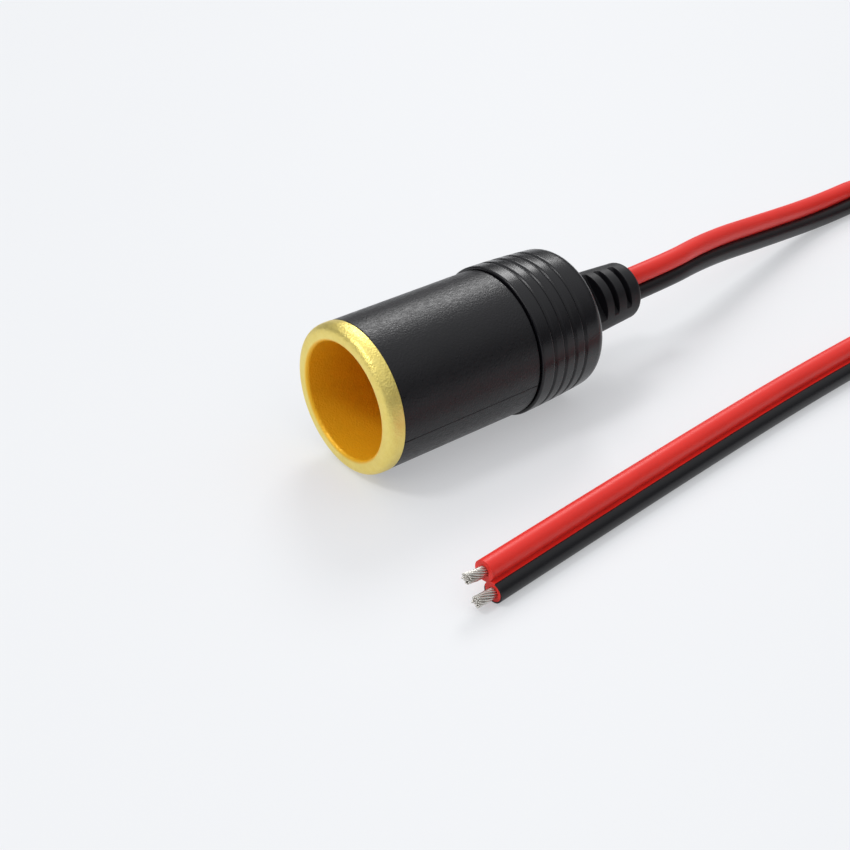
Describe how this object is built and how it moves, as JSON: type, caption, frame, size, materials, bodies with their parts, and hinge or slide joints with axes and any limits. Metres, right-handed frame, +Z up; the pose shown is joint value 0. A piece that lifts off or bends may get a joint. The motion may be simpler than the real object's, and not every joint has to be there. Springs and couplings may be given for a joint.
{
  "type": "cigarette lighter socket adapter",
  "caption": "Female twelve volt accessory socket with a gold lip, black sleeve, ringed cap and boot, on a short red and black twin lead with stripped ends.",
  "frame": {"origin": "on the floor under the middle of the socket, which lies on its side", "axes": "+Z up, +Y along the socket from its mouth towards the boot, +X towards the stripped ends of the lead"},
  "size_m": [0.0594, 0.1888, 0.0278],
  "materials": {
    "lip_brass": "grained matte gold on the lip, darker and smoother in the bore",
    "sleeve_plastic": "black with a spark-eroded grain",
    "cap_plastic": "satin black",
    "boot_vinyl": "soft satin black",
    "lead_vinyl": "soft red vinyl with a black skin on one core",
    "tinned_strands": "tinned copper strands",
    "contact_metal": "plain stamped brass",
    "insulator_fibre": "pressed brown fibre",
    "solder": "bright solder"
  },
  "bodies": {
    "root": {"contact_shell": "lip_brass", "outer_sleeve": "sleeve_plastic", "rear_cap": "cap_plastic", "strain_relief": "boot_vinyl", "twin_cable": "lead_vinyl", "red_conductor_end": "tinned_strands", "black_conductor_end": "tinned_strands", "centre_contact": "contact_metal", "inner_insulator": "insulator_fibre", "outer_insulator": "insulator_fibre", "centre_rivet": "contact_metal", "positive_tag": "contact_metal", "negative_rivet": "contact_metal", "negative_tag": "contact_metal", "positive_strands": "tinned_strands", "negative_strands": "tinned_strands", "positive_solder": "solder", "negative_solder": "solder"}
  },
  "joints": []
}
